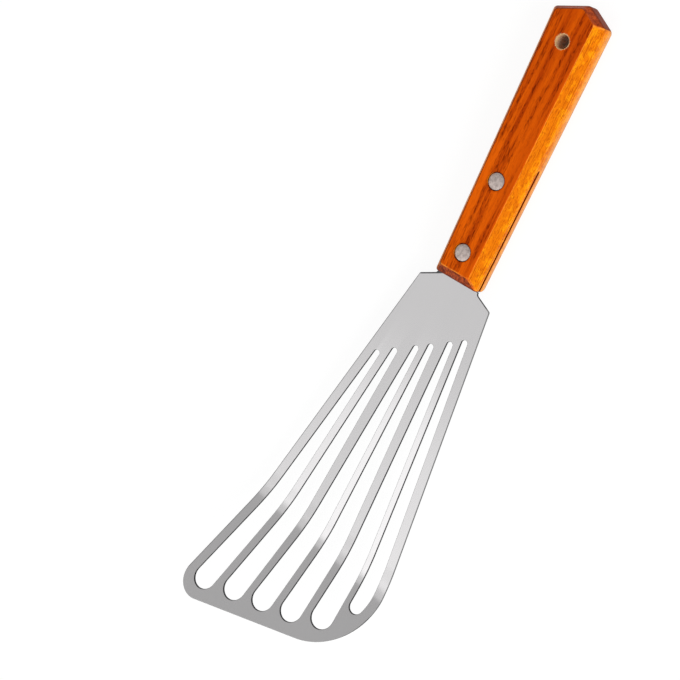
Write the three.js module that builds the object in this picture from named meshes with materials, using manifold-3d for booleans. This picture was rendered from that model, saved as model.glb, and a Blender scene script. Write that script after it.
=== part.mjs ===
// A slotted pancake turner: a bent sheet-steel blade riveted into a sawn wooden handle.
// Millimetres. X runs forward from the handle to the blade's tip, Y to the left, Z up.
// The pieces are drawn from the point where the handle's axis leaves its front face,
// halfway through the sheet, and the whole is then set on its base.
// A reach is a distance from the handle's front face.
import * as THREE from 'three';
import { mergeVertices } from 'three/addons/utils/BufferGeometryUtils.js';
import Module from 'manifold-3d';

// Handle block: it widens towards a shallow gable at the rear
const HANDLE_LENGTH = 126.6;
const HANDLE_FRONT_WIDTH = 21.7;
const HANDLE_REAR_WIDTH = 25.8;
const HANDLE_THICKNESS = 17;
const GABLE_RISE = 6;
const GABLE_PEAK_LEFT = 2;

// Bevels: one depth all round, with a set-back of their own on the sides, front and rear
const BEVEL_DEPTH = 5.5;
const SIDE_BEVEL = 3.4;
const FRONT_BEVEL = 4.3;
const REAR_BEVEL = 2;

// Hang hole through the rear of the handle
const HANG_HOLE_DIAMETER = 6;
const HANG_HOLE_REACH = 109;

// Two rivets, each a tube and a pin with flush heads
const FRONT_RIVET_REACH = 13;
const RIVET_PITCH = 33;
const RIVET_HEAD_DIAMETER = 7.5;
const RIVET_HEAD_HEIGHT = 1.6;
const RIVET_CROWN = 0.3;
const RIVET_TUBE_DIAMETER = 5;
const RIVET_PIN_DIAMETER = 3;
const RIVET_CLEARANCE = 0.3;
const RIVET_TUBE_END_GAP = 1;

// Tang: the narrow end of the blade, inside the kerf
const TANG_WIDTH = 16;
const TANG_BEHIND_RIVET = 8;
const TANG_END_GAP = 2.5;
const TANG_CORNER_RADIUS = 2;

// Blade outline, seen from above; the shoulders are measured from the handle's axis
const SHEET = 1.2;
const NECK_LENGTH = 1.2;
const NECK_FILLET = 1.2;
const NECK_SEAT_RADIUS = 0.3;
const SHOULDER_REACH = 5;
const LEFT_SHOULDER = 19.4;
const RIGHT_SHOULDER = 18.2;
const SHOULDER_RADIUS = 1;
const LEFT_FLARE = THREE.MathUtils.degToRad(6.1);
const RIGHT_FLARE = THREE.MathUtils.degToRad(11.9);
const BLADE_REACH = 173.3;
const FRONT_SLANT = THREE.MathUtils.degToRad(12.6);
const LEFT_CORNER_RADIUS = 31.5;
const RIGHT_CORNER_RADIUS = 9.3;

// Upward bend of the tip, along a line that lies further forward on the left
const BEND_REACH = 120.7;
const BEND_RADIUS = 60;
const BEND_ANGLE = THREE.MathUtils.degToRad(17.8);
const BEND_SLANT = THREE.MathUtils.degToRad(5);

// Slots: a fan that starts on a slanted line, widens forward and ends along the front edge
const EDGE_SLAT = 4.4;
const FRONT_MARGIN = 5.2;
const SLOT_ROOT_RADIUS = 1.5;
const SLOT_TIP_RADIUS = 5.4;
const LAST_SLOT_TIP_RADIUS = 3.4;
const LAST_SLOT_TURN = THREE.MathUtils.degToRad(19);
const ROOT_LINE_REACH = 32;
const ROOT_LINE_SLANT = THREE.MathUtils.degToRad(33.4);
// Places of the inner slots, as shares of the way from the first slot to the last
const INNER_ROOT_SHARES = [0.205, 0.45, 0.62, 0.836];
const INNER_TIP_SHARES = [0.22, 0.43, 0.639, 0.844];

// Finishes
const BLADE_STEEL = { color: 0xcbc8c8, roughness: 0.32, metalness: 1 };
const RIVET_STEEL = { color: 0xc8c3be, roughness: 0.36, metalness: 1 };
const OILED_WOOD = { color: 0xc8500a, roughness: 0.45, metalness: 0 };

// Facets
const ARC_STEPS = 9;
const BEND_STEPS = 6;
const ROUND_SIDES = 48;

const QUARTER_TURN = Math.PI / 2;
const HALF_THICKNESS = HANDLE_THICKNESS / 2;
const RIVET_SEAT = HALF_THICKNESS - RIVET_HEAD_HEIGHT;
const RIVETS = [
  { name: 'front', x: -FRONT_RIVET_REACH },
  { name: 'rear', x: -FRONT_RIVET_REACH - RIVET_PITCH },
];
const TANG_LENGTH = FRONT_RIVET_REACH + RIVET_PITCH + TANG_BEHIND_RIVET;
const KERF_LENGTH = TANG_LENGTH + TANG_END_GAP;
// How far cutting shapes run past the faces that they cut
const OVERRUN = 10;

const wasm = await Module();
wasm.setup();

// Turns a closed geometry into a solid that can be cut
function toSolid(geometry) {
  geometry.deleteAttribute('normal');
  geometry.deleteAttribute('uv');
  const merged = mergeVertices(geometry);
  const corners = merged.index.array;
  const kept = [];
  for (let i = 0; i < corners.length; i += 3) {
    const [a, b, c] = corners.slice(i, i + 3);
    if (a !== b && b !== c && c !== a) {
      kept.push(a, b, c);
    }
  }
  const mesh = new wasm.Mesh({
    numProp: 3,
    vertProperties: merged.attributes.position.array,
    triVerts: new Uint32Array(kept),
  });
  return new wasm.Manifold(mesh);
}

// Turns a solid into a named mesh with a material of its own
function toMesh(name, solid, finish) {
  const { vertProperties, triVerts } = solid.getMesh();
  const geometry = new THREE.BufferGeometry();
  geometry.setAttribute('position', new THREE.BufferAttribute(vertProperties, 3));
  geometry.setIndex(new THREE.BufferAttribute(triVerts, 1));
  geometry.computeVertexNormals();
  const material = new THREE.MeshStandardMaterial({ ...finish, flatShading: true });
  const mesh = new THREE.Mesh(geometry, material);
  mesh.name = name;
  return mesh;
}

// A straight line in plan, through a point, at an angle from +X
function lineThrough(x, y, angle) {
  const direction = new THREE.Vector2(Math.cos(angle), Math.sin(angle));
  return { point: new THREE.Vector2(x, y), direction, angle };
}

// The same line moved to the left of its direction
function moveLeft(line, distance) {
  const x = line.point.x - distance * line.direction.y;
  const y = line.point.y + distance * line.direction.x;
  return lineThrough(x, y, line.angle);
}

// The point where two lines cross
function crossing(a, b) {
  const reach = b.point.clone().sub(a.point).cross(b.direction) / a.direction.cross(b.direction);
  return a.point.clone().addScaledVector(a.direction, reach);
}

// The centre of the arc that rounds the corner from one line to the next
function cornerCentre(before, after, radius) {
  const turn = Math.sign(before.direction.cross(after.direction));
  return crossing(moveLeft(before, turn * radius), moveLeft(after, turn * radius));
}

// A closed outline of lines, each with the radius of the corner at its far end
function roundedOutline(edges) {
  const outline = new THREE.Shape();
  edges.forEach(({ line, radius }, i) => {
    const next = edges[(i + 1) % edges.length].line;
    const turn = Math.sign(line.direction.cross(next.direction));
    const centre = cornerCentre(line, next, radius);
    const start = line.angle - turn * QUARTER_TURN;
    const end = next.angle - turn * QUARTER_TURN;
    outline.absarc(centre.x, centre.y, radius, start, end, turn < 0);
  });
  outline.closePath();
  return outline;
}

// The edges of the blade, run anticlockwise from the right shoulder
const NECK_HALF = HANDLE_FRONT_WIDTH / 2;
const TANG_HALF = TANG_WIDTH / 2;
const rightSlope = Math.atan2(RIGHT_SHOULDER - NECK_HALF, SHOULDER_REACH - NECK_LENGTH);
const leftSlope = Math.atan2(LEFT_SHOULDER - NECK_HALF, SHOULDER_REACH - NECK_LENGTH);
const rightShoulder = lineThrough(SHOULDER_REACH, -RIGHT_SHOULDER, -rightSlope);
const rightEdge = lineThrough(SHOULDER_REACH, -RIGHT_SHOULDER, -RIGHT_FLARE);
const frontEdge = lineThrough(BLADE_REACH, 0, QUARTER_TURN + FRONT_SLANT);
const leftEdge = lineThrough(SHOULDER_REACH, LEFT_SHOULDER, Math.PI + LEFT_FLARE);
const leftShoulder = lineThrough(SHOULDER_REACH, LEFT_SHOULDER, Math.PI + leftSlope);
const leftCorner = cornerCentre(frontEdge, leftEdge, LEFT_CORNER_RADIUS);

// The blade with its neck and tang, from the tang's right side round to its rear end
function bladeOutline() {
  return roundedOutline([
    { line: lineThrough(0, -TANG_HALF, 0), radius: NECK_SEAT_RADIUS },
    { line: lineThrough(0, -TANG_HALF, -QUARTER_TURN), radius: NECK_SEAT_RADIUS },
    { line: lineThrough(0, -NECK_HALF, 0), radius: NECK_FILLET },
    { line: rightShoulder, radius: SHOULDER_RADIUS },
    { line: rightEdge, radius: RIGHT_CORNER_RADIUS },
    { line: frontEdge, radius: LEFT_CORNER_RADIUS },
    { line: leftEdge, radius: SHOULDER_RADIUS },
    { line: leftShoulder, radius: NECK_FILLET },
    { line: lineThrough(0, NECK_HALF, Math.PI), radius: NECK_SEAT_RADIUS },
    { line: lineThrough(0, NECK_HALF, -QUARTER_TURN), radius: NECK_SEAT_RADIUS },
    { line: lineThrough(0, TANG_HALF, Math.PI), radius: TANG_CORNER_RADIUS },
    { line: lineThrough(-TANG_LENGTH, 0, -QUARTER_TURN), radius: TANG_CORNER_RADIUS },
  ]);
}

// A slot tip's place along the front: level with the front edge, then round the left corner
function slotTip(y) {
  const inset = FRONT_MARGIN + SLOT_TIP_RADIUS;
  const round = LEFT_CORNER_RADIUS - inset;
  const side = y - leftCorner.y;
  if (side > round * Math.sin(FRONT_SLANT)) {
    return new THREE.Vector2(leftCorner.x + Math.sqrt(round * round - side * side), y);
  }
  return crossing(moveLeft(frontEdge, inset), lineThrough(0, y, 0));
}

// The six slots, from right to left, each as a root circle and a tip circle
function slotEnds() {
  const rootLine = lineThrough(ROOT_LINE_REACH, 0, QUARTER_TURN + ROOT_LINE_SLANT);
  const rootInset = EDGE_SLAT + SLOT_ROOT_RADIUS;
  const firstRoot = crossing(rootLine, moveLeft(rightEdge, rootInset));
  const lastRoot = crossing(rootLine, moveLeft(leftEdge, rootInset));
  const firstTipLine = moveLeft(rightEdge, EDGE_SLAT + SLOT_TIP_RADIUS);
  const firstTip = crossing(firstTipLine, moveLeft(frontEdge, FRONT_MARGIN + SLOT_TIP_RADIUS));
  const lastTipAngle = leftEdge.angle - QUARTER_TURN - LAST_SLOT_TURN;
  const lastTipRound = LEFT_CORNER_RADIUS - EDGE_SLAT - LAST_SLOT_TIP_RADIUS;
  const lastTip = new THREE.Vector2(Math.cos(lastTipAngle), Math.sin(lastTipAngle));
  lastTip.multiplyScalar(lastTipRound).add(leftCorner);
  const inner = INNER_ROOT_SHARES.map((share, i) => ({
    root: firstRoot.clone().lerp(lastRoot, share),
    tip: slotTip(THREE.MathUtils.lerp(firstTip.y, lastTip.y, INNER_TIP_SHARES[i])),
    tipRadius: SLOT_TIP_RADIUS,
  }));
  const first = { root: firstRoot, tip: firstTip, tipRadius: SLOT_TIP_RADIUS };
  const last = { root: lastRoot, tip: lastTip, tipRadius: LAST_SLOT_TIP_RADIUS, roundsCorner: true };
  return [first, ...inner, last];
}

// One slot: straight sides that touch both end circles
// The last slot's left side stays level with the blade's edge and rounds its corner
function slotHole({ root, tip, tipRadius, roundsCorner }) {
  const axis = tip.clone().sub(root);
  const lean = Math.asin((tipRadius - SLOT_ROOT_RADIUS) / axis.length());
  const rightNormal = axis.angle() - QUARTER_TURN - lean;
  const leftNormal = axis.angle() + QUARTER_TURN + lean;
  const hole = new THREE.Path();
  if (roundsCorner) {
    const edgeNormal = leftEdge.angle - QUARTER_TURN;
    const cornerRound = LEFT_CORNER_RADIUS - EDGE_SLAT;
    const turnEnd = edgeNormal - LAST_SLOT_TURN;
    hole.absarc(tip.x, tip.y, tipRadius, rightNormal, turnEnd, false);
    hole.absarc(leftCorner.x, leftCorner.y, cornerRound, turnEnd, edgeNormal, false);
    hole.absarc(root.x, root.y, SLOT_ROOT_RADIUS, edgeNormal, rightNormal, false);
  } else {
    hole.absarc(tip.x, tip.y, tipRadius, rightNormal, leftNormal, false);
    hole.absarc(root.x, root.y, SLOT_ROOT_RADIUS, leftNormal, rightNormal, false);
  }
  hole.closePath();
  return hole;
}

// The sheet seen from its side, drawn from the bend: flat, then curved up, then flat again
function bentProfile() {
  const tip = BEND_ANGLE - QUARTER_TURN;
  const outer = BEND_RADIUS + SHEET / 2;
  const inner = BEND_RADIUS - SHEET / 2;
  const rear = -BEND_REACH - TANG_LENGTH - OVERRUN;
  const run = new THREE.Vector2(Math.cos(BEND_ANGLE), Math.sin(BEND_ANGLE)).multiplyScalar(BLADE_REACH);
  const profile = new THREE.Shape();
  profile.moveTo(rear, -SHEET / 2);
  profile.lineTo(0, -SHEET / 2);
  profile.absarc(0, BEND_RADIUS, outer, -QUARTER_TURN, tip, false);
  profile.lineTo(profile.currentPoint.x + run.x, profile.currentPoint.y + run.y);
  profile.lineTo(inner * Math.cos(tip) + run.x, BEND_RADIUS + inner * Math.sin(tip) + run.y);
  profile.absarc(0, BEND_RADIUS, inner, tip, -QUARTER_TURN, true);
  profile.lineTo(rear, SHEET / 2);
  profile.closePath();
  return profile;
}

// A round bar or hole along Z
function roundBar(diameter, height, x) {
  const bar = new THREE.CylinderGeometry(diameter / 2, diameter / 2, height, ROUND_SIDES);
  bar.rotateX(QUARTER_TURN);
  bar.translate(x, 0, 0);
  return toSolid(bar);
}

// A solid turned about the Z axis, from radius and height pairs that run upward
function revolved(pairs) {
  const points = pairs.map(([radius, height]) => new THREE.Vector2(radius, height));
  const geometry = new THREE.LatheGeometry(points, ROUND_SIDES);
  geometry.rotateX(QUARTER_TURN);
  return toSolid(geometry);
}

// Blade: the outline with its slots, cut out of the bent sheet
function makeBlade() {
  const outline = bladeOutline();
  outline.holes = slotEnds().map(slotHole);
  const height = 2 * BLADE_REACH * Math.sin(BEND_ANGLE);
  const plan = new THREE.ExtrudeGeometry(outline, {
    depth: height,
    curveSegments: ARC_STEPS,
    bevelEnabled: false,
  });
  plan.translate(0, 0, -height / 2);
  const width = 2 * BLADE_REACH;
  const sheet = new THREE.ExtrudeGeometry(bentProfile(), {
    depth: width,
    curveSegments: BEND_STEPS,
    bevelEnabled: false,
  });
  sheet.rotateX(QUARTER_TURN);
  sheet.translate(0, width / 2, 0);
  sheet.rotateZ(-BEND_SLANT);
  sheet.translate(BEND_REACH, 0, 0);
  let blade = toSolid(plan).intersect(toSolid(sheet));
  for (const { x } of RIVETS) {
    blade = blade.subtract(roundBar(RIVET_TUBE_DIAMETER + 2 * RIVET_CLEARANCE, OVERRUN, x));
  }
  return toMesh('blade', blade, BLADE_STEEL);
}

// A wedge that bevels one edge of the handle's top (side 1) or underside (side -1)
// It is twice as large as the bevel each way, so that it runs past the corner that it takes off
function bevelWedge(from, to, setBack, side) {
  const top = HALF_THICKNESS + BEVEL_DEPTH;
  const wedge = new THREE.Shape([
    new THREE.Vector2(-2 * setBack, side * top),
    new THREE.Vector2(setBack, side * top),
    new THREE.Vector2(setBack, side * (HALF_THICKNESS - 2 * BEVEL_DEPTH)),
  ]);
  const along = to.clone().sub(from).normalize();
  const length = from.distanceTo(to) + 2 * OVERRUN;
  const geometry = new THREE.ExtrudeGeometry(wedge, { depth: length, bevelEnabled: false });
  const outward = new THREE.Vector3(along.y, -along.x, 0);
  const back = new THREE.Vector3(-along.x, -along.y, 0);
  const placing = new THREE.Matrix4().makeBasis(outward, new THREE.Vector3(0, 0, 1), back);
  const start = to.clone().addScaledVector(along, OVERRUN);
  placing.setPosition(start.x, start.y, 0);
  geometry.applyMatrix4(placing);
  return toSolid(geometry);
}

// The stepped hole of one rivet: a seat for a head at each end and a bore between
function rivetHole(x) {
  const seat = RIVET_HEAD_DIAMETER / 2 + RIVET_CLEARANCE;
  const bore = RIVET_TUBE_DIAMETER / 2 + RIVET_CLEARANCE;
  const end = HALF_THICKNESS + OVERRUN;
  const hole = revolved([
    [0, -end],
    [seat, -end],
    [seat, -RIVET_SEAT],
    [bore, -RIVET_SEAT],
    [bore, RIVET_SEAT],
    [seat, RIVET_SEAT],
    [seat, end],
    [0, end],
  ]);
  return hole.translate([x, 0, 0]);
}

// Handle: a bevelled block with the kerf, the rivet holes and the hang hole
function makeHandle() {
  const shoulder = -HANDLE_LENGTH + GABLE_RISE;
  const corners = [
    new THREE.Vector2(0, -HANDLE_FRONT_WIDTH / 2),
    new THREE.Vector2(0, HANDLE_FRONT_WIDTH / 2),
    new THREE.Vector2(shoulder, HANDLE_REAR_WIDTH / 2),
    new THREE.Vector2(-HANDLE_LENGTH, GABLE_PEAK_LEFT),
    new THREE.Vector2(shoulder, -HANDLE_REAR_WIDTH / 2),
  ];
  const setBacks = [FRONT_BEVEL, SIDE_BEVEL, REAR_BEVEL, REAR_BEVEL, SIDE_BEVEL];
  const block = new THREE.ExtrudeGeometry(new THREE.Shape(corners), {
    depth: HANDLE_THICKNESS,
    bevelEnabled: false,
  });
  block.translate(0, 0, -HALF_THICKNESS);
  let handle = toSolid(block);
  corners.forEach((corner, i) => {
    const next = corners[(i + 1) % corners.length];
    for (const side of [1, -1]) {
      handle = handle.subtract(bevelWedge(corner, next, setBacks[i], side));
    }
  });
  const kerf = new THREE.BoxGeometry(KERF_LENGTH + OVERRUN, HANDLE_REAR_WIDTH + OVERRUN, SHEET);
  kerf.translate((OVERRUN - KERF_LENGTH) / 2, 0, 0);
  handle = handle.subtract(toSolid(kerf));
  handle = handle.subtract(roundBar(HANG_HOLE_DIAMETER, HANDLE_THICKNESS + OVERRUN, -HANG_HOLE_REACH));
  for (const { x } of RIVETS) {
    handle = handle.subtract(rivetHole(x));
  }
  return toMesh('handle', handle, OILED_WOOD);
}

// The low dome of a rivet head, from its rim to its middle
function headDome() {
  const rim = RIVET_HEAD_DIAMETER / 2;
  return Array.from({ length: ARC_STEPS + 1 }, (_, i) => {
    const radius = rim * (1 - i / ARC_STEPS);
    return [radius, HALF_THICKNESS - RIVET_CROWN * (radius / rim) ** 2];
  });
}

// Tube half of a rivet: its head lies in the top of the handle
function makeRivetTube({ name, x }) {
  const bore = RIVET_PIN_DIAMETER / 2 + RIVET_CLEARANCE;
  const tube = RIVET_TUBE_DIAMETER / 2;
  const end = -RIVET_SEAT + RIVET_TUBE_END_GAP;
  const solid = revolved([
    [0, RIVET_SEAT],
    [bore, RIVET_SEAT],
    [bore, end],
    [tube, end],
    [tube, RIVET_SEAT],
    [RIVET_HEAD_DIAMETER / 2, RIVET_SEAT],
    ...headDome(),
  ]);
  return toMesh(`rivet_${name}_tube`, solid.translate([x, 0, 0]), RIVET_STEEL);
}

// Pin half of a rivet: its head lies in the underside and its end meets the tube's floor
function makeRivetPin({ name, x }) {
  const pin = RIVET_PIN_DIAMETER / 2;
  const dome = headDome().reverse().map(([radius, height]) => [radius, -height]);
  const solid = revolved([
    ...dome,
    [RIVET_HEAD_DIAMETER / 2, -RIVET_SEAT],
    [pin, -RIVET_SEAT],
    [pin, RIVET_SEAT],
    [0, RIVET_SEAT],
  ]);
  return toMesh(`rivet_${name}_pin`, solid.translate([x, 0, 0]), RIVET_STEEL);
}

const turner = new THREE.Group();
turner.add(makeBlade(), makeHandle());
for (const rivet of RIVETS) {
  turner.add(makeRivetTube(rivet), makeRivetPin(rivet));
}

// The origin is the middle of the base
const box = new THREE.Box3().setFromObject(turner);
const middle = box.getCenter(new THREE.Vector3());
turner.position.set(-middle.x, -middle.y, -box.min.z);

export default turner;
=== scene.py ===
# A slotted pancake turner: a bent steel blade riveted into an oiled wooden handle.
# Metres. X runs forward from the handle to the blade's tip, Y to the left, Z up.
import math
from contextlib import contextmanager

import bmesh
import bpy
from mathutils import Matrix, Quaternion, Vector


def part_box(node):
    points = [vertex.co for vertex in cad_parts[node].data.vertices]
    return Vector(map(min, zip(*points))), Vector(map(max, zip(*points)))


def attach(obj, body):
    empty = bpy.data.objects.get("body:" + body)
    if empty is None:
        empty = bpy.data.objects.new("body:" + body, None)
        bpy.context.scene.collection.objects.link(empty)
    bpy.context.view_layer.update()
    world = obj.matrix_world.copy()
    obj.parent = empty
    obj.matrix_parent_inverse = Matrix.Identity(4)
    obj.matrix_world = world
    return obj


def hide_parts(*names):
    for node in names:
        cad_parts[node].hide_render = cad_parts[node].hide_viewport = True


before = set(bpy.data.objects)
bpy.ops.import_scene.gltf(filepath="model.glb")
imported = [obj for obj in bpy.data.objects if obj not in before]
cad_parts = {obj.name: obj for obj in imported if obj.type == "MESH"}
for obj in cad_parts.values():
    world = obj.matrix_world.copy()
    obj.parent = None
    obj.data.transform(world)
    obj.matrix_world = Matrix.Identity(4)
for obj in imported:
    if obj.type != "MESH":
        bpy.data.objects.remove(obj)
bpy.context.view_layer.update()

MM = 0.001
NEAR = 0.001 * MM
UP = Vector((0, 0, 1))

# Handle
HANDLE_LENGTH = 126.6 * MM
HANDLE_FRONT_WIDTH = 21.7 * MM
HANDLE_REAR_WIDTH = 25.8 * MM
HANDLE_THICKNESS = 17 * MM
HALF_THICKNESS = HANDLE_THICKNESS / 2
GABLE_RISE = 6 * MM
GABLE_PEAK_LEFT = 2 * MM
BEVEL_DEPTH = 5.5 * MM
UNDERSIDE_BEVEL_DEPTH = 4.5 * MM
SIDE_BEVEL = 3.4 * MM
FRONT_BEVEL = 4.3 * MM
REAR_BEVEL = 2 * MM
CORNER_ROUND = 1.1 * MM
ARRIS_ROUND = 0.5 * MM
HANG_HOLE_RADIUS = 3 * MM
HANG_HOLE_REACH = 109 * MM
HANG_HOLE_FLARE = 0.25 * MM

# Rivets
FRONT_RIVET_REACH = 13 * MM
RIVET_PITCH = 33 * MM
RIVET_REACHES = (FRONT_RIVET_REACH, FRONT_RIVET_REACH + RIVET_PITCH)
RIVET_HEAD_RADIUS = 3.75 * MM
RIVET_HEAD_HEIGHT = 1.6 * MM
RIVET_CROWN = 0.3 * MM
RIVET_RIM_ROUND = 0.35 * MM
RIVET_TUBE_RADIUS = 2.5 * MM
RIVET_PIN_RADIUS = 1.5 * MM
RIVET_CLEARANCE = 0.3 * MM
RIVET_TUBE_END_GAP = 1 * MM
RIVET_SEAT = HALF_THICKNESS - RIVET_HEAD_HEIGHT
RIVET_SIDES = 96
RIM_STEPS = 4
DOME_STEPS = 8

# Blade, with its tang inside the handle
SHEET = 1.2 * MM
EDGE_ROUND = 0.25 * MM
TANG_WIDTH = 16 * MM
TANG_BEHIND_RIVET = 8 * MM
TANG_LENGTH = FRONT_RIVET_REACH + RIVET_PITCH + TANG_BEHIND_RIVET
TANG_CORNER_RADIUS = 2 * MM
TANG_END_GAP = 2.5 * MM
KERF_LENGTH = TANG_LENGTH + TANG_END_GAP
NECK_LENGTH = 1.2 * MM
NECK_FILLET = 1.2 * MM
NECK_HALF = HANDLE_FRONT_WIDTH / 2
SHOULDER_REACH = 5 * MM
LEFT_SHOULDER = 19.4 * MM
RIGHT_SHOULDER = 18.2 * MM
SHOULDER_RADIUS = 1 * MM
LEFT_FLARE = math.radians(6.1)
RIGHT_FLARE = math.radians(11.9)
BLADE_REACH = 173.3 * MM
FRONT_SLANT = math.radians(12.6)
LEFT_CORNER_RADIUS = 31.5 * MM
RIGHT_CORNER_RADIUS = 9.3 * MM

# Bend of the tip
BEND_REACH = 120.7 * MM
BEND_RADIUS = 60 * MM
BEND_ANGLE = math.radians(17.8)
BEND_SLANT = math.radians(5)
BEND_STEPS = 24

# Slots
EDGE_SLAT = 4.4 * MM
FRONT_MARGIN = 5.2 * MM
SLOT_ROOT_RADIUS = 1.5 * MM
SLOT_TIP_RADIUS = 5.4 * MM
LAST_SLOT_TIP_RADIUS = 3.4 * MM
LAST_SLOT_TURN = math.radians(19)
LAST_SLOT_STEPS = 10
ROOT_LINE_REACH = 32 * MM
ROOT_LINE_SLANT = math.radians(33.4)
INNER_ROOT_SHARES = (0.205, 0.45, 0.62, 0.836)
INNER_TIP_SHARES = (0.22, 0.43, 0.639, 0.844)

# Wood: its place in the plank, the turns of its grain, then the colours of its faces,
# flanks and ends, and of what shows in them
PLANK_PLACE = Vector((0, 3, 0))
GRAIN_TURN = math.radians(1.2)
PORE_TURN = math.radians(-4)
FACE_LIGHT = (0.80, 0.122, 0.002, 1)
FACE_DARK = (0.56, 0.066, 0.0012, 1)
FACE_STREAK = (0.36, 0.030, 0.0008, 1)
# The pores' colour, also used for painted shade round the rivets
FACE_PORE_AND_SHADE = (0.15, 0.010, 0.0004, 1)
FLANK_LIGHT = (0.87, 0.285, 0.003, 1)
FLANK_DARK = (0.68, 0.160, 0.002, 1)
FLANK_PORE = (0.30, 0.042, 0.001, 1)
END_LIGHT = (0.46, 0.074, 0.012, 1)
END_DARK = (0.15, 0.018, 0.004, 1)
END_PORE = (0.09, 0.010, 0.003, 1)
# Pale arris colour: wear with a painted highlight on the left and front arrises
WORN_AND_HIGHLIT_ARRIS = (0.90, 0.32, 0.04, 1)
# Painted shade for the wood: the right arris, the foot of the flanks and the ends beside the blade
WOOD_SHADE = (0.13, 0.015, 0.002, 1)
# Pale wood: frayed wood at the hang hole's mouth, and a painted sheen on the flanks' lower half
FRAYED_WOOD_AND_SHEEN = (0.62, 0.40, 0.20, 1)
BORED_WOOD = (0.62, 0.37, 0.23, 1)
# Painted shade inside the kerf
KERF_SHADE = (0.18, 0.020, 0.0005, 1)
OIL_TINT = (1.0, 0.5, 0.1, 1)

# Steel: colours
SHEET_LIGHT = (0.815, 0.800, 0.805, 1)
SHEET_DARK = (0.775, 0.765, 0.770, 1)
# Painted shade on the cut edges, near black with lighter torn patches
CUT_EDGE_SHADE = (0.028, 0.028, 0.029, 1)
TORN_EDGE_SHADE = (0.130, 0.128, 0.130, 1)
# Lighter painted edge shade near the left outer edge
LEFT_EDGE_SHADE = (0.20, 0.20, 0.20, 1)
RIVET_LIGHT = (0.77, 0.650, 0.602, 1)
RIVET_DARK = (0.51, 0.427, 0.395, 1)
RIVET_SPECK = (0.34, 0.245, 0.220, 1)

# Steel: what the press left in it, and the millimetres between which that comes or goes
CREASE_SLANT = 0.115
CREASE = (128, 137)
SLAT_TILTS = (0.03, 0.10, 0.0, 0.15, 0.03, 0.16, 0.06)
SLAT_SIDE = (3.6, 4.6)
TILT_RISE = (16, 82)
TILT_FALL = (127, 139)

# Studio: the paper's own light and its glow add up to white
PAPER_COLOUR = (0.95, 0.95, 0.95, 1)
PAPER_GLOW = 1.06
PAPER_GLOW_SHARE = 0.82
WHITE = (1, 1, 1, 1)
FLOOR_SIZE = 6
FLOOR_DROP = 0.2 * MM
ROOM_LIGHT = 0.455
PANEL_LIGHT = 0.245
FAR_LIGHT = 0.5

# Points closer than this are joined after a piece is rounded, and after it is cut out
FINE_MERGE = 0.004 * MM
CUT_MERGE = 0.05 * MM

# Cutting shapes run past what they cut by this much
OVERRUN = 10 * MM
CUT_FLOOR = -5 * MM
CUT_TOP = 32 * MM

# The point where the handle's axis leaves its front face, halfway through the sheet
handle_low, handle_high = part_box("handle")
rivet_low, rivet_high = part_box("rivet_front_tube")
FRONT = Vector((
    handle_high.x,
    (rivet_low.y + rivet_high.y) / 2,
    (handle_low.z + handle_high.z) / 2,
))


# Modelling

def work_on(piece):
    bpy.ops.object.select_all(action="DESELECT")
    piece.select_set(True)
    bpy.context.view_layer.objects.active = piece


@contextmanager
def editing(piece):
    work_on(piece)
    bpy.ops.object.mode_set(mode="EDIT")
    bpy.ops.mesh.select_all(action="SELECT")
    yield
    bpy.ops.object.mode_set(mode="OBJECT")


def pick(piece, kind, wanted):
    """Selects the vertices, edges or faces of a mesh in edit mode that pass a test"""
    bpy.ops.mesh.select_all(action="DESELECT")
    bpy.ops.mesh.select_mode(type=kind)
    mesh = bmesh.from_edit_mesh(piece.data)
    parts = {"VERT": mesh.verts, "EDGE": mesh.edges, "FACE": mesh.faces}[kind]
    for part in parts:
        if wanted(part):
            part.select_set(True)
    mesh.select_flush_mode()
    bmesh.update_edit_mesh(piece.data)


def begun(name):
    """Names the primitive just added, and puts its place into its mesh"""
    piece = bpy.context.object
    piece.name = name
    piece.data.name = name
    bpy.ops.object.transform_apply(location=True, rotation=True, scale=True)
    return piece


def finish_with(piece, kind, **settings):
    """Puts a modifier on a piece and applies it"""
    modifier = piece.modifiers.new(kind.lower(), kind)
    for name, value in settings.items():
        setattr(modifier, name, value)
    work_on(piece)
    bpy.ops.object.modifier_apply(modifier=modifier.name)


def saw(piece, cutter, operation="DIFFERENCE"):
    """Cuts one shape with another, which is used up"""
    finish_with(piece, "BOOLEAN", object=cutter, operation=operation, solver="EXACT")
    bpy.data.meshes.remove(cutter.data)


def extrude(x, y, z):
    bpy.ops.mesh.extrude_region_move(TRANSFORM_OT_translate={"value": (x, y, z)})


def clean(piece, merge=FINE_MERGE):
    with editing(piece):
        bpy.ops.mesh.remove_doubles(threshold=merge)
        bpy.ops.mesh.dissolve_degenerate(threshold=merge)
        bpy.ops.mesh.select_all(action="SELECT")
        bpy.ops.mesh.normals_make_consistent(inside=False)


def round_edges(piece, width, degrees):
    """Rounds each edge where the surface turns by more than an angle"""
    finish_with(
        piece,
        "BEVEL",
        width=width,
        segments=3,
        limit_method="ANGLE",
        angle_limit=math.radians(degrees),
        use_clamp_overlap=False,
    )


def smooth(piece, degrees):
    work_on(piece)
    bpy.ops.object.shade_smooth_by_angle(angle=math.radians(degrees), keep_sharp_edges=False)
    finish_with(piece, "WEIGHTED_NORMAL", keep_sharp=True, weight=80)


def add_circle(x, y, z, radius, sides=None):
    """A filled circle, with more sides the larger it is unless they are given"""
    sides = sides or 4 * round(8 + 1.6 * radius / MM)
    place = FRONT + Vector((x, y, z))
    bpy.ops.mesh.primitive_circle_add(vertices=sides, radius=radius, fill_type="NGON", location=place)


def tight_plate(name, rounds):
    """A plate with the outline of a band drawn tight round circles"""
    bpy.ops.object.select_all(action="DESELECT")
    add_circle(*rounds[0])
    plate = begun(name)
    with editing(plate):
        for circle in rounds[1:]:
            add_circle(*circle)
        bpy.ops.mesh.select_all(action="SELECT")
        extrude(0, 0, CUT_TOP - CUT_FLOOR)
        wrap()
    return plate


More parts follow.
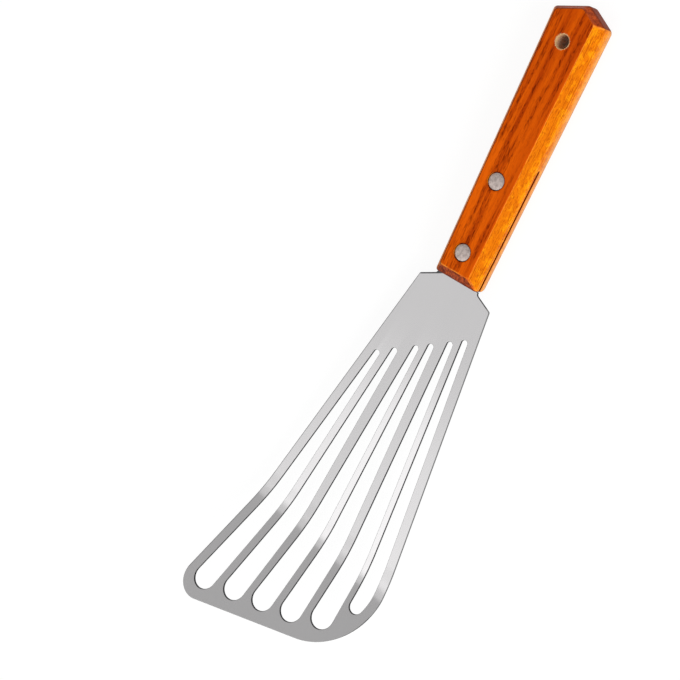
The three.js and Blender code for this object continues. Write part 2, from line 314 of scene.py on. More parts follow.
def wrap():
    """Draws a tight skin round the mesh that is being edited"""
    bpy.ops.mesh.select_all(action="SELECT")
    bpy.ops.mesh.convex_hull(use_existing_faces=False)
    bpy.ops.mesh.select_all(action="SELECT")
    bpy.ops.mesh.dissolve_limited(angle_limit=math.radians(0.3))
    bpy.ops.mesh.select_all(action="SELECT")
    bpy.ops.mesh.normals_make_consistent(inside=False)


def turned(name, reach, rings):
    """A piece turned on a lathe, from radius and height pairs that run along its skin"""
    bpy.ops.object.select_all(action="DESELECT")
    (radius, height), *others = rings
    add_circle(-reach, 0, height, radius, RIVET_SIDES)
    piece = begun(name)
    with editing(piece):
        for next_radius, next_height in others:
            extrude(0, 0, next_height - height)
            middle = FRONT + Vector((-reach, 0, next_height))
            share = next_radius / radius
            bpy.ops.transform.resize(value=(share, share, 1), center_override=middle)
            radius = next_radius
            height = next_height
        bpy.ops.mesh.select_all(action="SELECT")
        bpy.ops.mesh.normals_make_consistent(inside=False)
    return piece


# Plan of the blade

class Line:
    """A straight line in plan, through a point, at an angle from +X"""

    def __init__(self, x, y, angle):
        self.point = Vector((x, y))
        self.angle = angle
        self.direction = Vector((math.cos(angle), math.sin(angle)))

    def moved_left(self, distance):
        x = self.point.x - distance * self.direction.y
        y = self.point.y + distance * self.direction.x
        return Line(x, y, self.angle)

    def meets(self, other):
        between = other.point - self.point
        reach = between.cross(other.direction) / self.direction.cross(other.direction)
        return self.point + reach * self.direction


QUARTER = math.pi / 2
right_slope = math.atan2(RIGHT_SHOULDER - NECK_HALF, SHOULDER_REACH - NECK_LENGTH)
left_slope = math.atan2(LEFT_SHOULDER - NECK_HALF, SHOULDER_REACH - NECK_LENGTH)
right_shoulder = Line(SHOULDER_REACH, -RIGHT_SHOULDER, -right_slope)
right_edge = Line(SHOULDER_REACH, -RIGHT_SHOULDER, -RIGHT_FLARE)
front_edge = Line(BLADE_REACH, 0, QUARTER + FRONT_SLANT)
left_edge = Line(SHOULDER_REACH, LEFT_SHOULDER, math.pi + LEFT_FLARE)
left_shoulder = Line(SHOULDER_REACH, LEFT_SHOULDER, math.pi + left_slope)


def corner(before, after, radius):
    """The circle that rounds a corner, as x, y, height and radius"""
    middle = before.moved_left(radius).meets(after.moved_left(radius))
    return (middle.x, middle.y, CUT_FLOOR, radius)


left_corner = corner(front_edge, left_edge, LEFT_CORNER_RADIUS)


def slot_tip(y):
    """A slot tip's place: level with the front edge, then round the left corner"""
    inset = FRONT_MARGIN + SLOT_TIP_RADIUS
    reach = LEFT_CORNER_RADIUS - inset
    side = y - left_corner[1]
    if side > reach * math.sin(FRONT_SLANT):
        return Vector((left_corner[0] + math.sqrt(reach * reach - side * side), y))
    return front_edge.moved_left(inset).meets(Line(0, y, 0))


def slot_rounds():
    """The circles that each slot is drawn tight round, from right to left"""
    root_line = Line(ROOT_LINE_REACH, 0, QUARTER + ROOT_LINE_SLANT)
    root_inset = EDGE_SLAT + SLOT_ROOT_RADIUS
    first_root = root_line.meets(right_edge.moved_left(root_inset))
    last_root = root_line.meets(left_edge.moved_left(root_inset))
    tip_line = front_edge.moved_left(FRONT_MARGIN + SLOT_TIP_RADIUS)
    first_tip = right_edge.moved_left(EDGE_SLAT + SLOT_TIP_RADIUS).meets(tip_line)
    along_edge = left_edge.angle - QUARTER

    def round_corner(turn, radius):
        reach = LEFT_CORNER_RADIUS - EDGE_SLAT - radius
        x = left_corner[0] + reach * math.cos(along_edge - turn)
        y = left_corner[1] + reach * math.sin(along_edge - turn)
        return (x, y, CUT_FLOOR, radius)

    last_tip = round_corner(LAST_SLOT_TURN, LAST_SLOT_TIP_RADIUS)
    roots = [first_root]
    tips = [first_tip]
    for root_share, tip_share in zip(INNER_ROOT_SHARES, INNER_TIP_SHARES):
        roots.append(first_root.lerp(last_root, root_share))
        tips.append(slot_tip(first_tip.y + tip_share * (last_tip[1] - first_tip.y)))
    slots = []
    for root, tip in zip(roots, tips):
        slots.append([(*root, CUT_FLOOR, SLOT_ROOT_RADIUS), (*tip, CUT_FLOOR, SLOT_TIP_RADIUS)])
    last = [(*last_root, CUT_FLOOR, SLOT_ROOT_RADIUS), last_tip]
    for step in range(LAST_SLOT_STEPS):
        last.append(round_corner(LAST_SLOT_TURN * step / LAST_SLOT_STEPS, SLOT_ROOT_RADIUS))
    slots.append(last)
    return slots


# Blade

def faces_back(face):
    return face.normal.x < -0.99


def blade_plan():
    """The blade's outline as a thick plate: a flared head, a neck and a tang"""
    plate = tight_plate("bent_blade", [
        corner(right_shoulder, right_edge, SHOULDER_RADIUS),
        corner(right_edge, front_edge, RIGHT_CORNER_RADIUS),
        left_corner,
        corner(left_edge, left_shoulder, SHOULDER_RADIUS),
    ])
    with editing(plate):
        middle = FRONT + Vector((NECK_LENGTH, 0, (CUT_FLOOR + CUT_TOP) / 2))
        bpy.ops.mesh.primitive_plane_add(size=1, location=middle, rotation=(0, QUARTER, 0))
        size = (1, 2 * NECK_HALF, CUT_TOP - CUT_FLOOR)
        bpy.ops.transform.resize(value=size, center_override=middle)
        wrap()
        pick(plate, "FACE", faces_back)
        extrude(-NECK_LENGTH, 0, 0)
        for side in (1, -1):
            line = FRONT + Vector((0, side * TANG_WIDTH / 2, 0))
            pick(plate, "FACE", faces_back)
            bpy.ops.mesh.bisect(plane_co=line, plane_no=(0, 1, 0), threshold=NEAR)
        pick(plate, "FACE", lambda face: faces_back(face)
             and abs(face.calc_center_median().y - FRONT.y) < TANG_WIDTH / 4)
        extrude(-TANG_LENGTH, 0, 0)
        for reach, half, radius, slope in (
            (NECK_LENGTH, NECK_HALF, NECK_FILLET, (left_slope + right_slope) / 2),
            (-TANG_LENGTH, TANG_WIDTH / 2, TANG_CORNER_RADIUS, QUARTER),
        ):
            pick(plate, "EDGE", upright_at(reach, half))
            bpy.ops.mesh.bevel(offset=radius * math.tan(slope / 2), segments=10, affect="EDGES")
        bpy.ops.mesh.select_all(action="SELECT")
        bpy.ops.mesh.normals_make_consistent(inside=False)
    return plate


def upright_at(reach, half):
    """A test for the upright edges at one reach, as far out on each side"""
    near = 0.05 * MM

    def is_there(edge):
        for vertex in edge.verts:
            place = vertex.co - FRONT
            if abs(place.x - reach) > near or abs(abs(place.y) - half) > near:
                return False
        return True

    return is_there


def bent_sheet():
    """Sheet steel, flat and then curved up along the slanted bend line"""
    along = Vector((math.cos(BEND_SLANT), -math.sin(BEND_SLANT), 0))
    across = Vector((math.sin(BEND_SLANT), math.cos(BEND_SLANT), 0))
    length = BEND_REACH + TANG_LENGTH + 4 * OVERRUN
    width = 2 * BLADE_REACH
    bend = FRONT + BEND_REACH * Vector((1, 0, 0))
    middle = bend - along * length / 2
    bpy.ops.object.select_all(action="DESELECT")
    bpy.ops.mesh.primitive_plane_add(size=1, location=middle, rotation=(0, 0, -BEND_SLANT))
    sheet = bpy.context.object
    sheet.scale = (length, width, 1)
    sheet = begun("sheet")
    with editing(sheet):
        pick(sheet, "EDGE", lambda edge: all((v.co - bend).dot(along) > -MM for v in edge.verts))
        bpy.ops.mesh.spin(
            steps=BEND_STEPS,
            angle=BEND_ANGLE,
            center=bend + BEND_RADIUS * UP,
            axis=across,
        )
        rise = math.cos(BEND_ANGLE) * along + math.sin(BEND_ANGLE) * UP
        bpy.ops.mesh.extrude_edges_move(TRANSFORM_OT_translate={"value": rise * BLADE_REACH})
        bpy.ops.mesh.select_all(action="SELECT")
        bpy.ops.mesh.remove_doubles(threshold=NEAR)
        bpy.ops.mesh.normals_make_consistent(inside=False)
    finish_with(sheet, "SOLIDIFY", thickness=SHEET, offset=0, use_even_offset=True)
    return sheet


def make_blade():
    blade = blade_plan()
    for rounds in slot_rounds():
        saw(blade, tight_plate("slot", rounds))
    for reach in RIVET_REACHES:
        hole = (-reach, 0, CUT_FLOOR, RIVET_TUBE_RADIUS + RIVET_CLEARANCE)
        saw(blade, tight_plate("rivet_hole", [hole]))
    saw(blade, bent_sheet(), "INTERSECT")
    clean(blade, merge=CUT_MERGE)
    round_edges(blade, EDGE_ROUND, degrees=50)
    clean(blade)
    smooth(blade, 35)
    return blade


# Handle

def plane_off(piece, point, outward):
    """Planes away all that stands beyond a flat"""
    with editing(piece):
        bpy.ops.mesh.bisect(
            plane_co=point,
            plane_no=outward.normalized(),
            use_fill=True,
            clear_outer=True,
            threshold=NEAR,
        )


def handle_block():
    rear = -HANDLE_LENGTH + GABLE_RISE
    corners = [
        Vector((0, -HANDLE_FRONT_WIDTH / 2, 0)),
        Vector((0, HANDLE_FRONT_WIDTH / 2, 0)),
        Vector((rear, HANDLE_REAR_WIDTH / 2, 0)),
        Vector((-HANDLE_LENGTH, GABLE_PEAK_LEFT, 0)),
        Vector((rear, -HANDLE_REAR_WIDTH / 2, 0)),
    ]
    set_backs = (FRONT_BEVEL, SIDE_BEVEL, REAR_BEVEL, REAR_BEVEL, SIDE_BEVEL)
    bpy.ops.object.select_all(action="DESELECT")
    bpy.ops.mesh.primitive_cube_add(size=1, location=FRONT - Vector((HANDLE_LENGTH / 2, 0, 0)))
    block = bpy.context.object
    block.scale = (HANDLE_LENGTH + OVERRUN, HANDLE_REAR_WIDTH + OVERRUN, HANDLE_THICKNESS)
    block = begun("wood_handle")
    for index, start in enumerate(corners):
        along = (corners[(index + 1) % len(corners)] - start).normalized()
        outward = along.cross(UP)
        plane_off(block, FRONT + start, outward)
        for side in (1, -1):
            under_flank = side < 0 and set_backs[index] == SIDE_BEVEL
            depth = UNDERSIDE_BEVEL_DEPTH if under_flank else BEVEL_DEPTH
            line = FRONT + start + side * (HALF_THICKNESS - depth) * UP
            plane_off(block, line, depth * outward + side * set_backs[index] * UP)
    with editing(block):
        pick(block, "EDGE", is_steep)
        bpy.ops.mesh.bevel(offset=CORNER_ROUND, segments=8, affect="EDGES")
    round_edges(block, ARRIS_ROUND, degrees=16)
    return block


def is_steep(edge):
    """Whether an edge stands up at a corner of the handle"""
    first, second = edge.verts
    along = (second.co - first.co).normalized()
    return abs(along.z) > 0.3


def kerf():
    bpy.ops.object.select_all(action="DESELECT")
    middle = FRONT + Vector(((OVERRUN - KERF_LENGTH) / 2, 0, 0))
    bpy.ops.mesh.primitive_cube_add(size=1, location=middle)
    blank = bpy.context.object
    blank.scale = (KERF_LENGTH + OVERRUN, HANDLE_REAR_WIDTH + OVERRUN, SHEET)
    return begun("kerf")


def make_handle():
    handle = handle_block()
    saw(handle, kerf())
    end = HALF_THICKNESS + OVERRUN
    seat = RIVET_HEAD_RADIUS + RIVET_CLEARANCE
    bore = RIVET_TUBE_RADIUS + RIVET_CLEARANCE
    for reach in RIVET_REACHES:
        saw(handle, turned("rivet_hole", reach, [
            (seat, -end),
            (seat, -RIVET_SEAT),
            (bore, -RIVET_SEAT),
            (bore, RIVET_SEAT),
            (seat, RIVET_SEAT),
            (seat, end),
        ]))
    wide = HANG_HOLE_RADIUS + HANG_HOLE_FLARE
    mouth = HALF_THICKNESS - HANG_HOLE_FLARE
    inset = 0.3 * HANG_HOLE_FLARE
    throat = HANG_HOLE_RADIUS + inset
    lip = HALF_THICKNESS - inset
    saw(handle, turned("hang_hole", HANG_HOLE_REACH, [
        (wide + OVERRUN, -end),
        (wide, -HALF_THICKNESS),
        (throat, -lip),
        (HANG_HOLE_RADIUS, -mouth),
        (HANG_HOLE_RADIUS, mouth),
        (throat, lip),
        (wide, HALF_THICKNESS),
        (wide + OVERRUN, end),
    ]))
    clean(handle)
    smooth(handle, 30)
    return handle


# Rivets

def dome():
    """A rivet head's low dome, from the rim to the middle"""
    rim = RIVET_HEAD_RADIUS
    rings = []
    for step in range(RIM_STEPS + 1):
        turn = QUARTER * step / RIM_STEPS
        inset = RIVET_RIM_ROUND * (1 - math.cos(turn))
        drop = RIVET_RIM_ROUND * (1 - math.sin(turn))
        rings.append((rim - inset, HALF_THICKNESS - RIVET_CROWN - drop))
    for step in range(1, DOME_STEPS + 1):
        radius = (rim - RIVET_RIM_ROUND) * (1 - step / (DOME_STEPS + 0.5))
        rings.append((radius, HALF_THICKNESS - RIVET_CROWN * (radius / rim) ** 2))
    return rings


def make_rivet_tube():
    bore = RIVET_PIN_RADIUS + RIVET_CLEARANCE
    end = RIVET_TUBE_END_GAP - RIVET_SEAT
    return turned("front_rivet_tube", FRONT_RIVET_REACH, [
        (bore * 0.2, RIVET_SEAT),
        (bore, RIVET_SEAT),
        (bore, end),
        (RIVET_TUBE_RADIUS, end),
        (RIVET_TUBE_RADIUS, RIVET_SEAT),
        (RIVET_HEAD_RADIUS, RIVET_SEAT),
        *dome(),
    ])


def make_rivet_pin():
    head = [(radius, -height) for radius, height in reversed(dome())]
    return turned("front_rivet_pin", FRONT_RIVET_REACH, [
        *head,
        (RIVET_HEAD_RADIUS, -RIVET_SEAT),
        (RIVET_PIN_RADIUS, -RIVET_SEAT),
        (RIVET_PIN_RADIUS, RIVET_SEAT),
    ])


def rear_copy(piece):
    """The same rivet half again, at the rear place"""
    work_on(piece)
    bpy.ops.object.duplicate(linked=False)
    bpy.ops.transform.translate(value=(-RIVET_PITCH, 0, 0))
    return begun(piece.name.replace("front", "rear"))


# Materials

class Value:
    """One value in a material, so that shader maths reads as Python"""

    def __init__(self, nodes, socket):
        self.nodes = nodes
        self.socket = socket

    def math(self, operation, *values):
        return self.nodes.node("ShaderNodeMath", {"operation": operation}, dict(enumerate(values)))

    def __add__(self, other):
        return self.math("ADD", self, other)

    def __radd__(self, other):
        return self.math("ADD", other, self)

    def __sub__(self, other):
        return self.math("SUBTRACT", self, other)

    def __rsub__(self, other):
        return self.math("SUBTRACT", other, self)

    def __mul__(self, other):
        return self.math("MULTIPLY", self, other)

    def __rmul__(self, other):
        return self.math("MULTIPLY", other, self)

    def __abs__(self):
        return self.math("ABSOLUTE", self)


class Nodes:
    """The nodes of a material or of the world"""

    def __init__(self, owner):
        owner.use_nodes = True
        self.owner = owner
        self.tree = owner.node_tree

    def node(self, kind, settings=None, sockets=None, output=0):
        made = self.tree.nodes.new(kind)
        for name, value in (settings or {}).items():
            setattr(made, name, value)
        for key, value in (sockets or {}).items():
            self.join(value, made.inputs[key])
        return Value(self, made.outputs[output])

    def join(self, value, socket):
        if isinstance(value, Value):
            self.tree.links.new(value.socket, socket)
        else:
            socket.default_value = value

    def coordinates(self, output="Object"):
        return self.node("ShaderNodeTexCoord", output=output)

    def millimetres(self, turn=0.0, shift=Vector((0, 0, 0))):
        """Places in millimetres from the handle's front, turned about the vertical and shifted"""
        turned_front = Matrix.Rotation(turn, 3, "Z") @ FRONT
        return self.node("ShaderNodeMapping", {"vector_type": "POINT"}, {
            "Vector": self.coordinates(),
            "Location": shift - turned_front / MM,
            "Rotation": (0, 0, turn),
            "Scale": (1 / MM, 1 / MM, 1 / MM),
        })

    def stretched(self, vector, scale):
        settings = {"operation": "MULTIPLY"}
        return self.node("ShaderNodeVectorMath", settings, {0: vector, 1: scale})

    def math_max(self, first, second):
        return first.math("MAXIMUM", first, second)

    def distance(self, x, y):
        """How far a place in plan is from where x and y are nought"""
        offset = self.node("ShaderNodeCombineXYZ", None, {0: x, 1: y})
        return self.node("ShaderNodeVectorMath", {"operation": "LENGTH"}, {0: offset}, output="Value")

    def aside(self, line, reach, left):
        """How far a place in plan, in millimetres, is to either side of a line"""
        across = line.direction.orthogonal()
        return abs(reach * across.x + left * across.y - across.dot(line.point) / MM)

    def noise(self, vector, scale=1.0, detail=2.0, roughness=0.5, distortion=0.0):
        sockets = {
            "Vector": vector,
            "Scale": scale,
            "Detail": detail,
            "Roughness": roughness,
            "Distortion": distortion,
        }
        return self.node("ShaderNodeTexNoise", None, sockets)

    def step(self, value, low, high):
        """From 0 at low to 1 at high, with soft ends"""
        settings = {"interpolation_type": "SMOOTHSTEP"}
        return self.node("ShaderNodeMapRange", settings, {0: value, 1: low, 2: high})

    def mix(self, share, first, second):
        settings = {"data_type": "RGBA"}
        return self.node("ShaderNodeMix", settings, {0: share, 6: first, 7: second}, output=2)

    def part(self, vector, axis):
        return self.node("ShaderNodeSeparateXYZ", None, {0: vector}, output=axis)

    def shade(self, **inputs):
        shader = self.tree.nodes["Principled BSDF"]
        for name, value in inputs.items():
            self.join(value, shader.inputs[name.replace("_", " ").title().replace("Ior", "IOR")])


def oiled_wood():
    wood = Nodes(bpy.data.materials.new("oiled_wood"))
    place = wood.millimetres()
    grain = wood.millimetres(turn=GRAIN_TURN, shift=PLANK_PLACE)
    vessels = wood.millimetres(turn=PORE_TURN, shift=PLANK_PLACE)
    normal = wood.coordinates("Normal")
    reach = wood.part(place, 0)
    left = wood.part(place, 1)
    height = wood.part(place, 2)

    # Long soft bands, darker streaks in them, short pores in the streaks, and fine fibres
    bands = wood.noise(wood.stretched(grain, (0.008, 0.15, 0.15)), detail=2.0, distortion=0.3)
    streaks = wood.noise(wood.stretched(grain, (0.02, 0.38, 0.38)), detail=3.0, roughness=0.6)
    pores = wood.noise(wood.stretched(vessels, (0.32, 1.6, 1.6)), detail=2.0, roughness=0.6)
    lines = wood.noise(wood.stretched(grain, (0.04, 2.0, 2.0)), detail=2.0, roughness=0.6)
    fibres = wood.noise(wood.stretched(grain, (0.12, 4.2, 4.2)), detail=3.0, roughness=0.7)
    figure = wood.noise(wood.stretched(grain, (0.30, 0.34, 0.34)), detail=3.0, roughness=0.6)
    ring_place = wood.stretched(grain, (0.30, 0.75, 0.40))
    rings = wood.noise(ring_place, detail=3.0, roughness=0.6, distortion=0.6)
    needles = wood.noise(wood.stretched(vessels, (0.55, 3.2, 3.2)), detail=1.0)
    streak = wood.step(streaks, 0.44, 0.64)
    pore = wood.step(pores, 0.50, 0.64) * (0.2 + 0.8 * streak)
    line = wood.step(lines, 0.55, 0.68)
    needle = wood.step(needles, 0.55, 0.66) * (0.3 + 0.7 * streak)
    # A ramp that rises towards the rear and the left: faces darker, ends redder, the front arris less
    # pale
    rear_left_ramp = wood.step(3 * left - reach, 0, 120)
    tone = wood.step(0.5 * bands + 0.3 * streaks + 0.2 * fibres + 0.10 * rear_left_ramp, 0.38, 0.70)

    # Which way each face was sawn out of the plank
    along = abs(wood.part(normal, 0))
    sideways = wood.part(normal, 1)
    across = abs(sideways)
    end_grain = wood.step(along, 0.45, 0.8)
    side_grain = wood.step(across, 0.68, 0.82)
    arris = wood.step(across, 0.06, 0.3) * (1 - wood.step(across, 0.5, 0.75)) * (1 - end_grain)
    front_arris = wood.step(along, 0.06, 0.3) * (1 - wood.step(along, 0.5, 0.75))
    # Painted shade along the right arris, which faces away from the light
    right_arris_shade = arris * wood.step(0 - sideways, 0.0, 0.1)
    # Wear and a painted highlight along the left arris
    left_arris = wood.step(sideways, 0.55, 0.72) * (1 - wood.step(sideways, 0.76, 0.84))
    left_arris = left_arris * (1 - end_grain)

    face = wood.mix(tone, FACE_LIGHT, FACE_DARK)
    face = wood.mix(0.6 * streak, face, FACE_STREAK)
    face = wood.mix(0.85 * pore, face, FACE_PORE_AND_SHADE)
    face = wood.mix(0.45 * needle, face, FACE_PORE_AND_SHADE)
    flank = wood.mix(wood.step(0.6 * figure + 0.4 * bands, 0.41, 0.59), FLANK_LIGHT, FLANK_DARK)
    flank = wood.mix(0.75 * line + 0.4 * pore, flank, FLANK_PORE)
    flank = wood.mix(0.6 * wood.step(needles, 0.56, 0.66), flank, FLANK_PORE)
    end = wood.mix(wood.step(rings, 0.40, 0.60), END_DARK, END_LIGHT)
    end = wood.mix(0.4 * rear_left_ramp, end, FACE_DARK)
    end = wood.mix(0.55 * wood.step(pores, 0.52, 0.66), end, END_PORE)
    below = 0 - height
    # Painted sheen: the lower half of the flanks is paler
    flank_sheen = wood.step(below, -1, 3.6) * (1 - 0.75 * wood.step(below, 4.2, 6))
    flank = wood.mix(0.5 * flank_sheen, flank, FRAYED_WOOD_AND_SHEEN)
    colour = wood.mix(side_grain, face, flank)
    colour = wood.mix(end_grain, colour, end)
    # Wear and a painted highlight: the left and front arrises turn pale, in patches
    patchy = 0.2 + 0.6 * wood.step(figure, 0.4, 0.6)
    worn_and_highlit = wood.math_max(left_arris, front_arris * (1 - 0.9 * rear_left_ramp)) * patchy
    colour = wood.mix(worn_and_highlit, colour, WORN_AND_HIGHLIT_ARRIS)
    # Painted shade darkens the right arris
    colour = wood.mix(0.8 * right_arris_shade, colour, WOOD_SHADE)

    # Painted shade: dark lines along the foot of the flanks and across the ends
    foot_shade = wood.step(below, 3.2, 3.8) * (1 - wood.step(below, 4.2, 5.0))
    foot_shade = foot_shade * wood.step(across, 0.7, 0.85)
    sill_shadow = (1 - wood.step(abs(height), 3.4, 4.8)) * wood.step(along, 0.5, 0.7)
    colour = wood.mix(wood.math_max(0.4 * foot_shade, 0.75 * sill_shadow), colour, WOOD_SHADE)

    # Painted shade darkens the wood in a ring round the rivet heads
    head = RIVET_HEAD_RADIUS / MM
    rivet_shade = sum(
        1 - wood.step(wood.distance(reach + rivet_reach / MM, left), head + 0.25, head + 1.15)
        for rivet_reach in RIVET_REACHES
    )
    colour = wood.mix(0.3 * rivet_shade, colour, FACE_PORE_AND_SHADE)

    # Bare wood in the hang hole, pale where the drill frayed its mouth, and painted shade in the kerf
    from_hole = wood.distance(reach + HANG_HOLE_REACH / MM, left)
    hole = HANG_HOLE_RADIUS / MM
    fray = wood.noise(wood.stretched(place, (2.2, 2.2, 0.15)), detail=3.0, roughness=0.7) - 0.5
    mouth = wood.step(abs(height) + 5 * fray, 6.0, 7.6)
    bored = 1 - wood.step(from_hole + 2.2 * fray, hole + 0.15, hole + 0.5)
    colour = wood.mix(bored, colour, wood.mix(mouth, BORED_WOOD, FRAYED_WOOD_AND_SHEEN))
    kerf_half = SHEET / MM / 2
    kerf_end = -KERF_LENGTH / MM
    in_kerf = 1 - wood.step(abs(height), kerf_half + 0.02, kerf_half + 0.2)
    in_kerf = in_kerf * wood.step(reach, kerf_end - 1, kerf_end)
    colour = wood.mix(in_kerf, colour, KERF_SHADE)

    relief = wood.node("ShaderNodeBump", None, {
        "Strength": 0.35,
        "Distance": 0.06 * MM,
        "Height": 0.4 * fibres - 1.0 * pore,
    })
    wood.shade(
        base_color=colour,
        roughness=0.40 + 0.16 * streaks + 0.12 * pore,
        specular_ior_level=0.08,
        specular_tint=OIL_TINT,
        normal=relief,
    )
    return wood.owner


def satin_steel():
    steel = Nodes(bpy.data.materials.new("satin_steel"))
    place = steel.millimetres()
    reach = steel.part(place, 0)
    left = steel.part(place, 1)
    normal = steel.coordinates("Normal")

    # Cut edges turn away from the sheet, which is flat and then turned up past its bend
    forward = reach * math.cos(BEND_SLANT) - left * math.sin(BEND_SLANT)
    bend_start = BEND_REACH * math.cos(BEND_SLANT) / MM
    bend_end = bend_start + BEND_RADIUS * math.sin(BEND_ANGLE) / MM
    turn = BEND_ANGLE * steel.step(forward, bend_start, bend_end)
    facing_left = steel.part(normal, 1)
    facing = steel.part(normal, 0) * math.cos(BEND_SLANT) - facing_left * math.sin(BEND_SLANT)
    flat = steel.part(normal, 2) * turn.math("COSINE", turn) - facing * turn.math("SINE", turn)
    # The painted edge shade is lighter near the left outer edge and reaches less far onto roundings
    # that face left
    near_left_edge = 1 - steel.step(steel.aside(left_edge, reach, left), 1.0, 2.0)
    left_facing_ease = (0.08 + 0.16 * near_left_edge) * steel.step(facing_left, 0.0, 0.2)
    cut_edge = 1 - steel.step(abs(flat) + left_facing_ease, 0.92, 0.995)

    rolled = steel.noise(steel.stretched(place, (0.03, 1.1, 1.1)), detail=3.0, roughness=0.6)
    cloud = steel.noise(steel.stretched(place, (0.03, 0.04, 0.04)), detail=2.0)
    sheet = steel.mix(0.6 * cloud + 0.4 * rolled, SHEET_DARK, SHEET_LIGHT)
    torn = steel.noise(steel.stretched(place, (1.8, 1.8, 0.5)), detail=2.0)
    # Painted shade: dark bands along the right edge and the right shoulder
    right_edge_shade = 1 - steel.step(steel.aside(right_edge, reach, left), 0.2, 0.5)
    shoulder = SHOULDER_REACH / MM
    right_edge_shade = right_edge_shade * steel.step(reach, shoulder, shoulder + 3)
    shoulder_shade = 1 - steel.step(steel.aside(right_shoulder, reach, left), 0.4, 0.8)
    shoulder_shade = shoulder_shade * (1 - steel.step(reach, shoulder, shoulder + 1))
    # Painted shade on the cut edges, which are also rougher
    edge = steel.mix(0.6 * steel.step(torn, 0.52, 0.7), CUT_EDGE_SHADE, TORN_EDGE_SHADE)
    edge = steel.mix(near_left_edge, edge, LEFT_EDGE_SHADE)
    colour = steel.mix(cut_edge, sheet, edge)
    colour = steel.mix(steel.math_max(0.7 * right_edge_shade, 0.9 * shoulder_shade), colour, CUT_EDGE_SHADE)

    # The press left the slats tilted, some more than others, and creased the bend askew
    crease = reach - CREASE_SLANT * left
    creased = BEND_ANGLE * steel.step(crease, *CREASE)
    along_slat = steel.step(reach, *TILT_RISE) * (1 - steel.step(crease, *TILT_FALL))
    tilt = sum(
        slat_tilt * (1 - steel.step(steel.aside(line, reach, left), *SLAT_SIDE))
        for line, slat_tilt in zip(slat_lines(), SLAT_TILTS)
    )
    lean = steel.node("ShaderNodeCombineXYZ", None, {0: tilt * along_slat + turn - creased})
    straight = steel.node("ShaderNodeNewGeometry", output="Normal")
    leaning = steel.node("ShaderNodeVectorMath", {"operation": "ADD"}, {0: straight, 1: lean})
    leaning = steel.node("ShaderNodeVectorMath", {"operation": "NORMALIZE"}, {0: leaning})
    steel.shade(
        base_color=colour,
        metallic=1.0,
        roughness=0.16 + 0.05 * rolled + 0.3 * cut_edge,
        normal=leaning,
    )
    return steel.owner


def slat_lines():
    """The middle lines of the slats, from right to left"""
    yield right_edge.moved_left(EDGE_SLAT / 2)
    slots = slot_rounds()
    for before, after in zip(slots, slots[1:]):
        root = (Vector(before[0][:2]) + Vector(after[0][:2])) / 2
        tip = (Vector(before[1][:2]) + Vector(after[1][:2])) / 2
        yield Line(*root, math.atan2(tip.y - root.y, tip.x - root.x))
    yield left_edge.moved_left(EDGE_SLAT / 2)


def rivet_steel():
    steel = Nodes(bpy.data.materials.new("rivet_steel"))
    place = steel.millimetres()
    scuff = steel.noise(place, scale=0.6, detail=4.0, roughness=0.7)
    specks = steel.noise(place, scale=1.3, detail=2.0)
    shine = steel.mix(steel.step(scuff, 0.35, 0.68), RIVET_LIGHT, RIVET_DARK)
    shine = steel.mix(0.35 * steel.step(specks, 0.54, 0.68), shine, RIVET_SPECK)
    relief = steel.node("ShaderNodeBump", None, {
        "Strength": 0.3,
        "Distance": 0.08 * MM,
        "Height": scuff + 0.5 * specks,
    })
    steel.shade(
        base_color=shine,
        metallic=1.0,
        roughness=0.34 + 0.2 * scuff,
        normal=relief,
    )
    return steel.owner


def white_floor():
    """Paper white to the eye and to metal, with the turner's soft shadow left on it"""
    floor = Nodes(bpy.data.materials.new("floor_white"))
    seen = floor.node("ShaderNodeLightPath", output="Is Camera Ray")
    for ray in ("Is Glossy Ray", "Is Transmission Ray"):
        seen = floor.math_max(seen, floor.node("ShaderNodeLightPath", output=ray))
    paper = floor.node("ShaderNodeBsdfDiffuse", None, {"Color": PAPER_COLOUR})
    glow = floor.node("ShaderNodeEmission", None, {"Color": WHITE, "Strength": PAPER_GLOW})
    look = floor.node("ShaderNodeMixShader", None, {0: PAPER_GLOW_SHARE * seen, 1: paper, 2: glow})
    output = floor.tree.nodes["Material Output"]
    floor.join(look, output.inputs["Surface"])
    return floor.owner


# Pieces

def dress(piece, material, node):
    piece.data.materials.clear()
    piece.data.materials.append(material)
    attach(piece, "root")
    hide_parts(node)


blade = make_blade()
handle = make_handle()
front_tube = make_rivet_tube()
front_pin = make_rivet_pin()
rivets = [front_tube, front_pin, rear_copy(front_tube), rear_copy(front_pin)]
for rivet in rivets:
    smooth(rivet, 40)

dress(blade, satin_steel(), "blade")
dress(handle, oiled_wood(), "handle")
rivet_finish = rivet_steel()
for rivet in rivets:
    place, half = rivet.name.split("_rivet_")
    dress(rivet, rivet_finish, f"rivet_{place}_{half}")


# Studio

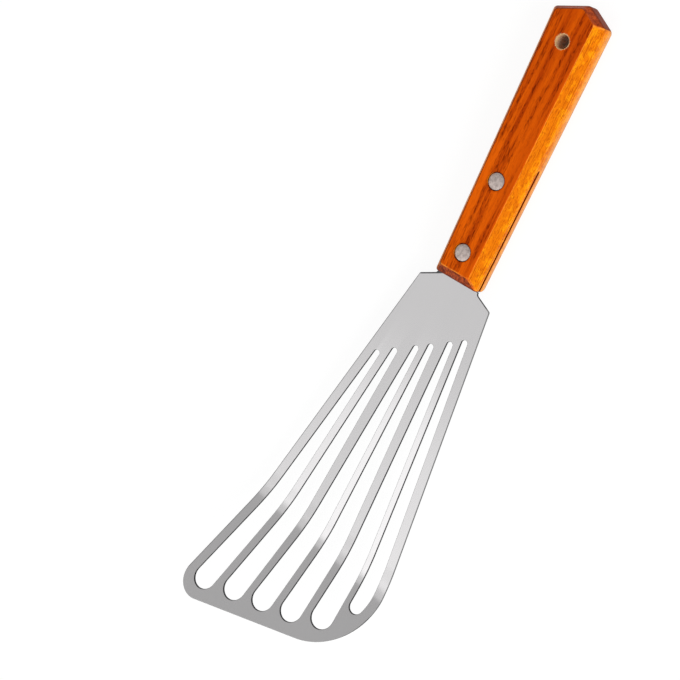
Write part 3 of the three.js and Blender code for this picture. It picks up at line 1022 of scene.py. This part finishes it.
def add_softbox(name, place, aim, size, strength):
    bpy.ops.object.light_add(type="AREA", location=place)
    lamp = bpy.context.object
    lamp.name = name
    lamp.rotation_euler = (Vector(aim) - Vector(place)).to_track_quat("-Z", "Y").to_euler()
    lamp.data.shape = "RECTANGLE"
    lamp.data.size, lamp.data.size_y = size
    lamp.data.energy = strength
    lamp.visible_glossy = False


bpy.ops.object.select_all(action="DESELECT")
bpy.ops.mesh.primitive_plane_add(size=FLOOR_SIZE, location=(0, 0, -FLOOR_DROP))
floor = begun("floor")
floor.data.materials.append(white_floor())

# The room: dim behind, lighter ahead and lightest far ahead, darker on the right and low down
world = bpy.data.worlds.new("studio")
bpy.context.scene.world = world
sky = Nodes(world)
toward = sky.coordinates("Generated")
ahead = sky.part(toward, 0)
right = 0 - sky.part(toward, 1)
panel = sky.step(ahead, -0.11, 0.01)
far_ahead = sky.step(ahead, 0.2, 0.6)
dusk = 1 - 0.5 * sky.step(right, 0.6, 0.95)
low = 0.75 + 0.25 * sky.step(sky.part(toward, 2), 0.1, 0.5)
lit = (ROOM_LIGHT + PANEL_LIGHT * panel + FAR_LIGHT * far_ahead) * dusk * low
seen = sky.node("ShaderNodeLightPath", output="Is Camera Ray")
bright = lit * (1 - seen) + seen
backdrop = sky.tree.nodes["Background"]
sky.join(bright, backdrop.inputs["Strength"])
sky.join(WHITE, backdrop.inputs["Color"])

add_softbox(
    "left_softbox",
    place=(-0.1, 1.0, 0.5),
    aim=(0, 0, 0),
    size=(0.9, 0.7),
    strength=9,
)

# Camera, where the photograph was taken from
CAMERA_PLACE = Vector((-0.17187, 0.35920, 0.71484))
CAMERA_AIM = Vector((0.0215, -0.0302, 0.0085))
CAMERA_ROLL = math.radians(-88.09)
CAMERA_SENSOR = 36
CAMERA_LENS = 99.79
bpy.ops.object.camera_add(location=CAMERA_PLACE)
camera = bpy.context.object
camera.rotation_mode = "QUATERNION"
looking = (CAMERA_AIM - CAMERA_PLACE).to_track_quat("-Z", "Y")
camera.rotation_quaternion = looking @ Quaternion((0, 0, 1), CAMERA_ROLL)
camera.data.sensor_width = CAMERA_SENSOR
camera.data.lens = CAMERA_LENS
bpy.context.scene.camera = camera
bpy.context.scene.view_settings.view_transform = "Standard"
